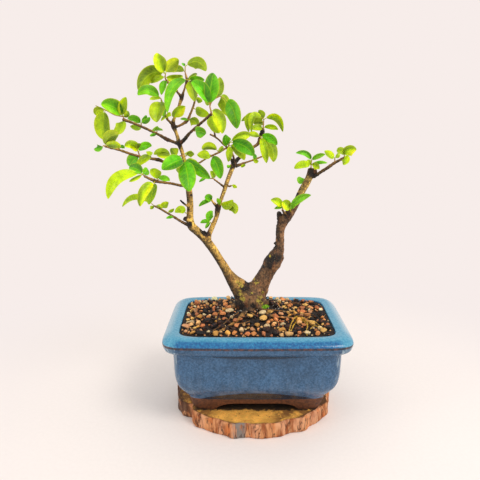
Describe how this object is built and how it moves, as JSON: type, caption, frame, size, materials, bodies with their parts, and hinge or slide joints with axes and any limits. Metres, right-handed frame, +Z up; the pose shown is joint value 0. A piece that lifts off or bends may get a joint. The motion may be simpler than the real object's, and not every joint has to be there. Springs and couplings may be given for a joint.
{
  "type": "chinese privet bonsai",
  "caption": "Small forked Chinese privet bonsai in a blue glazed rectangular pot filled with gravelly soil, standing on a bark-edged slice of wood.",
  "frame": {"origin": "on the pot's centre line, at the underside of the wood slice", "axes": "+Z up, +X to the right and +Y away from the viewer when the pot's long side faces the viewer"},
  "size_m": [0.227, 0.1194, 0.3135],
  "materials": {
    "slice_wood": "matte",
    "glaze": "gloss",
    "screen_plastic": "matte",
    "soil": "matte",
    "bark": "matte",
    "leaf": "satin"
  },
  "bodies": {
    "root": {"wood_slice": "slice_wood", "pot": "glaze", "drain_screen_left": "screen_plastic", "drain_screen_right": "screen_plastic", "soil": "soil", "trunk_and_roots": "bark", "left_high_stem": "leaf", "left_low_stem": "leaf", "left_drooping_stem": "leaf", "left_lowest_stem": "leaf", "crown_right_stem": "leaf", "upper_left_stem": "leaf", "upper_middle_stem": "leaf", "crown_stem": "leaf", "right_cluster_stem": "leaf", "right_thin_stem": "leaf", "centre_stem": "leaf", "leader_left_shoot": "leaf", "leader_right_shoot": "leaf", "leader_front_shoot": "leaf", "leader_back_shoot": "leaf", "leader_high_shoot": "leaf", "leader_low_shoot": "leaf", "spur_left_shoot": "leaf", "spur_right_shoot": "leaf", "middle_low_shoot": "leaf", "middle_right_shoot": "leaf", "middle_left_shoot": "leaf", "middle_top_shoot": "leaf", "right_fork_shoot": "leaf", "right_inner_shoot": "leaf", "right_top_shoot": "leaf", "right_side_stem": "leaf", "right_back_shoot": "leaf"}
  },
  "joints": []
}
